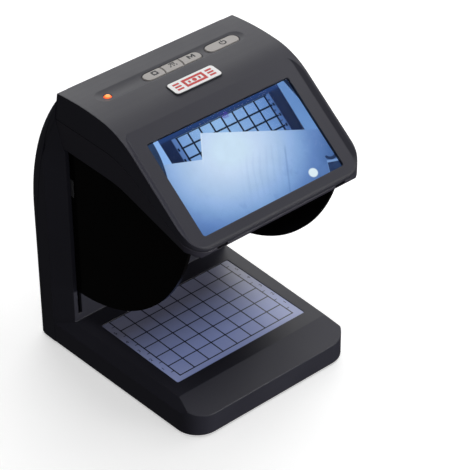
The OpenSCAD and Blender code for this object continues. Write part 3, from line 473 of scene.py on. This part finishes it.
LED_LO, LED_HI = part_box("status_led")
LED_TIP = ((LED_LO.x + LED_HI.x) / 2, (LED_LO.y + LED_HI.y) / 2, LED_HI.z)
MATERIALS = {
    "housing": housing("housing_charcoal", (0.0272, 0.0268, 0.039), 0.44),
    "housing_lower": housing("housing_lower", (0.0315, 0.0295, 0.044), 0.44),
    "housing_dark": housing("housing_dark", (0.022, 0.022, 0.025), 0.55),
    "rubber": rubber(),
    "smoked_plastic": smoked(),
    "clip_plastic": plastic("clip_plastic", (0.05, 0.05, 0.055), 0.4).mat,
    "mat_plastic": mat_print(),
    "white_plastic": plastic("white_plastic", (0.7, 0.7, 0.69), 0.45).mat,
    "circuit_board": board(),
    "led_yellow": glowing("led_yellow", (0.85, 0.75, 0.3), (1.0, 0.9, 0.6), 0.2),
    "led_violet": glowing("led_violet", (0.4, 0.35, 0.7), (0.5, 0.35, 1.0), 0.3),
    "led_red": glowing("led_red", (0.5, 0.03, 0.012), (0.95, 0.06, 0.02), 1.15,
                       LED_TIP, (1.0, 0.42, 0.1)),
    "screen_glass": clear("screen_glass", (0.98, 0.985, 0.99), 0.0),
    "screen_image": gloss("screen_back", (0.03, 0.035, 0.05), 0.3).mat,
    "uv_window": clear("uv_window", (0.5, 0.45, 0.75), 0.05),
    "flex_cable": cable("flex_cable", (0.28, 0.12, 0.02), (0.5, 0.26, 0.06), 1.0),
    "ribbon_cable": cable("ribbon_cable", (0.16, 0.16, 0.17), (0.42, 0.42, 0.44), 1.27),
    "chip_black": plastic("chip_black", (0.012, 0.012, 0.013), 0.5, grain=0.15).mat,
    "lens_black": gloss("lens_black", (0.008, 0.008, 0.01), 0.06, coat=0.5).mat,
    "key_plastic": plastic("key_plastic", (0.43, 0.405, 0.385), 0.42, grain=0.2, depth=0.01,
                           spread=0.04).mat,
    "plate_label": gloss("plate_label", (0.95, 0.94, 0.94), 0.18, coat=0.4, spread=0.02).mat,
    "screw_steel": metal("screw_steel", (0.5, 0.5, 0.52), 0.3),
}
INK = plastic("icon_ink", (0.012, 0.012, 0.017), 0.5, grain=0.2, spread=0.15).mat
RED_INK = plastic("red_ink", (0.62, 0.016, 0.01), 0.4, grain=0.2, spread=0.06).mat
MAT_INK = plastic("mat_ink", (0.012, 0.012, 0.016), 0.45, grain=0.2, spread=0.15).mat


def paint_cad():
    """Gives each CAD part the material of its slot."""
    for part in frame["record"]["subparts"]:
        obj = NODES[part["node"]]
        obj.data.materials.clear()
        obj.data.materials.append(MATERIALS[part["material_slot"]])


# ---------------------------------------------------------------- pieces
def new_piece(name, bm, material):
    mesh = bpy.data.meshes.new(name)
    bmesh.ops.recalc_face_normals(bm, faces=bm.faces)
    bm.to_mesh(mesh)
    bm.free()
    obj = bpy.data.objects.new(name, mesh)
    scene.collection.objects.link(obj)
    mesh.materials.append(material)
    return obj


def settle(obj, body):
    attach(obj, body)


def strip(bm, pts, width, z0, z1, closed=False):
    """A bar of the given width along (x, y) points, from z0 up to z1, with mitred corners."""
    n = len(pts)
    left, right = [], []
    for i in range(n):
        p = Vector(pts[i])
        a = Vector(pts[i - 1]) if (i > 0 or closed) else p
        b = Vector(pts[(i + 1) % n]) if (i < n - 1 or closed) else p
        u, v = (p - a), (b - p)
        u = u.normalized() if u.length else v.normalized()
        v = v.normalized() if v.length else u
        t = (u + v).normalized()
        nrm = Vector((-t.y, t.x)) / max(0.35, t.dot(u))
        left.append(p + nrm * width / 2)
        right.append(p - nrm * width / 2)
    rows = [[bm.verts.new((q.x, q.y, z)) for q in side] for z in (z0, z1) for side in (left, right)]
    lo_l, lo_r, hi_l, hi_r = rows
    for i in range(n if closed else n - 1):
        j = (i + 1) % n
        for a, b in ((hi_l, hi_r), (lo_r, lo_l), (lo_l, hi_l), (hi_r, lo_r)):
            bm.faces.new((a[i], a[j], b[j], b[i]))
    if not closed:
        for i in (0, n - 1):
            bm.faces.new((lo_l[i], lo_r[i], hi_r[i], hi_l[i]))


def ring_pts(r, a0, a1, n, cx=0.0, cy=0.0):
    """Points of an arc from angle a0 to a1, in n steps."""
    return [(cx + r * math.cos(math.radians(a0 + (a1 - a0) * i / n)),
             cy + r * math.sin(math.radians(a0 + (a1 - a0) * i / n))) for i in range(n + 1)]


def icon(name, body, node, x, y, draw):
    """Dark pad-printed icon on a key's top; draw adds its strokes in millimetres."""
    _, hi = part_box(node)
    bm = bmesh.new()
    draw(bm)
    bmesh.ops.scale(bm, vec=(MM, MM, 1.0), verts=bm.verts)
    bmesh.ops.translate(bm, vec=(x * MM, y * MM, 0), verts=bm.verts)
    obj = new_piece(name, bm, INK)
    for v in obj.data.vertices:
        v.co.z = hi.z + (INK_OUT if v.co.z > 0.5 else -INK_IN) * MM
    settle(obj, body)


def draw_ring(bm):
    strip(bm, ring_pts(1.45, 0, 350, 28), 0.95, 0, 1, closed=True)
    for a in (45, 135, 225, 315):
        c, s = math.cos(math.radians(a)), math.sin(math.radians(a))
        strip(bm, [(1.7 * c, 1.7 * s), (2.35 * c, 2.35 * s)], 0.95, 0, 1)


def draw_lamp(bm):
    strip(bm, [(-1.3, 1.6), (2.3, 1.6)], 0.85, 0, 1)
    for x0, x1 in ((-0.2, -2.0), (0.6, 0.5), (1.4, 2.4)):
        strip(bm, [(x0, 0.9), (x0 + (x1 - x0) * 0.45, -0.1)], 0.75, 0, 1)
        strip(bm, [(x0 + (x1 - x0) * 0.65, -0.55), (x1, -1.5)], 0.85, 0, 1)


def draw_wave(bm):
    strip(bm, [(-1.7, -1.6), (-1.7, 1.6)], 0.95, 0, 1)
    strip(bm, [(1.7, -1.6), (1.7, 1.6)], 0.95, 0, 1)
    strip(bm, [(-1.5, 1.35), (0.0, -0.75), (1.5, 1.35)], 0.85, 0, 1)


def draw_power(bm):
    strip(bm, ring_pts(1.7, 125, 415, 28), 0.85, 0, 1)
    strip(bm, [(0.0, 2.2), (0.0, 0.1)], 0.85, 0, 1)


def key_icons():
    icon("magnifier_icon", "magnifier_button", "magnifier_key", -10.4, 17.3, draw_ring)
    icon("lamp_icon", "lamp_button", "lamp_key", 1.3, 17.5, draw_lamp)
    icon("mode_icon", "mode_button", "mode_key", 13.7, 17.4, draw_wave)
    icon("power_icon", "power_button", "power_key", 35.1, 17.1, draw_power)


def face_matrix(n_mm):
    """Frame of the sunk panel, n_mm out of its surface: X across, Y up the slope."""
    tilt = math.radians(FACE_TILT)
    lo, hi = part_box("display_window")
    out = Vector((0, -math.sin(tilt), math.cos(tilt)))
    middle = (lo + hi) / 2 + out * (n_mm + GLASS_MID) * MM
    return Matrix.Translation(middle) @ Matrix.Rotation(tilt, 4, "X")


def screen():
    bm = bmesh.new()
    bmesh.ops.create_grid(bm, x_segments=24, y_segments=14, size=1.0)
    bmesh.ops.scale(bm, vec=(PICTURE_HALF[0] * MM, PICTURE_HALF[1] * MM, 1), verts=bm.verts)
    obj = new_piece("screen_picture", bm, screen_picture())
    obj.matrix_world = face_matrix(-PICTURE_DEPTH)
    settle(obj, "housing")


def plate_matrix():
    """Frame of the name plate's top face: X across, Y to the rear."""
    tilt = math.radians(PLATE_TILT)
    lo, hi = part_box("name_plate")
    top = hi.z - (hi.y - lo.y) / 2 * math.tan(tilt) + 0.03 * MM
    return Matrix.Translation(((lo.x + hi.x) / 2, (lo.y + hi.y) / 2, top)) @ Matrix.Rotation(tilt, 4, "X")


def plate_piece(name, bm, material):
    bmesh.ops.scale(bm, vec=(MM, MM, MM), verts=bm.verts)
    obj = new_piece(name, bm, material)
    obj.matrix_world = plate_matrix()
    settle(obj, "housing")


def label_graphic():
    """Generic red banknote sign on the name plate, and the dark line round the plate."""
    ink = (-0.1, 0.04)
    bm = bmesh.new()
    strip(bm, [(-6.1, -2.3), (6.1, -2.3), (6.1, 2.3), (-6.1, 2.3)], 1.5, *ink, closed=True)
    strip(bm, ring_pts(0.65, 0, 342, 18), 1.2, *ink, closed=True)
    for s in (-1, 1):
        for y in (-2.15, 0.0, 2.15):
            strip(bm, [(s * 8.6, y), (s * 12.6, y)], 1.25, *ink)
        strip(bm, [(s * 3.3, -0.9), (s * 3.3, 0.9)], 1.2, *ink)
    plate_piece("name_plate_graphic", bm, RED_INK)

    r, half_x, half_y = 2.0, 15.25, 4.85
    cx, cy = half_x - r, half_y - r
    outline = []
    for x, y, start in ((cx, cy, 0), (-cx, cy, 90), (-cx, -cy, 180), (cx, -cy, 270)):
        outline += ring_pts(r, start, start + 90, 6, x, y)
    bm = bmesh.new()
    strip(bm, outline, 0.5, -0.6, -0.1, closed=True)
    plate_piece("name_plate_outline", bm, INK)


def mat_digits():
    """Row numbers printed at both ends of the mat's grid lines."""
    height, row_pitch, from_middle = 3.2, 10, 43.4
    _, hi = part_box("light_mat")
    for row, digit in enumerate("54321", start=1):
        for side, letter in ((-1, "l"), (1, "r")):
            curve = bpy.data.curves.new(f"mat_digit_{digit}_{letter}", "FONT")
            curve.body = digit
            curve.size = height * MM
            curve.align_x, curve.align_y = "CENTER", "CENTER"
            curve.extrude = 0.015 * MM
            obj = bpy.data.objects.new(curve.name, curve)
            scene.collection.objects.link(obj)
            obj.location = (side * from_middle * MM, hi.y - row * row_pitch * MM, hi.z + 0.012 * MM)
            curve.materials.append(MAT_INK)
            settle(obj, "housing")


# ---------------------------------------------------------------- stage
def make_floor():
    bm = bmesh.new()
    bmesh.ops.create_grid(bm, x_segments=1, y_segments=1, size=4.0)
    mesh = bpy.data.meshes.new("floor")
    bm.to_mesh(mesh)
    bm.free()
    floor = bpy.data.objects.new("floor", mesh)
    scene.collection.objects.link(floor)
    m = Mat("floor_pale")
    pale = m.ramp(m.noise(3, 2), [(0.3, (0.86, 0.86, 0.86)), (0.7, (0.88, 0.88, 0.88))])
    m.set(Base_Color=pale, Roughness=0.7)
    m.bsdf.inputs["Emission Color"].default_value = (1.0, 1.0, 1.0, 1.0)
    m.bsdf.inputs["Emission Strength"].default_value = 0.5
    mesh.materials.append(m.mat)
    # the pale floor carries the shadow but throws no light back onto the dark housing
    floor.visible_diffuse = False
    floor.visible_glossy = False


def softbox(name, where, at, size, power):
    light = bpy.data.lights.new(name, "AREA")
    light.shape = "RECTANGLE"
    light.size, light.size_y = size
    light.energy = power
    obj = bpy.data.objects.new(name, light)
    scene.collection.objects.link(obj)
    obj.rotation_euler = (Vector(at) - Vector(where)).to_track_quat("-Z", "Y").to_euler()
    obj.location = where


def stage():
    make_floor()
    world = bpy.data.worlds.new("studio")
    scene.world = world
    world.use_nodes = True
    background = world.node_tree.nodes["Background"]
    background.inputs["Color"].default_value = (1.0, 1.0, 1.0, 1.0)
    background.inputs["Strength"].default_value = 0.035

    centre = Vector((0, 0, 0.1))

    def along(direction, distance):
        return Vector(direction).normalized() * distance + centre

    softbox("top_light", (0.1, 0.0, 1.7), (0, 0, 0), (1.4, 1.4), 12)
    softbox("back_light", along((0.50, 0.68, 0.52), 1.6), centre, (1.5, 1.2), 10)
    softbox("right_light", (0.42, -0.12, 0.5), (0, -0.02, 0.14), (0.3, 0.3), 0.6)
    softbox("low_light", (0.35, -0.9, 0.05), (0, -0.06, 0.12), (0.5, 0.3), 8)
    softbox("left_light", along((-0.67, -0.74, 0.15), 1.2), centre, (0.5, 0.5), 2)
    scene.view_settings.view_transform = "Standard"


make_camera()
paint_cad()
screen()
key_icons()
label_graphic()
mat_digits()
stage()
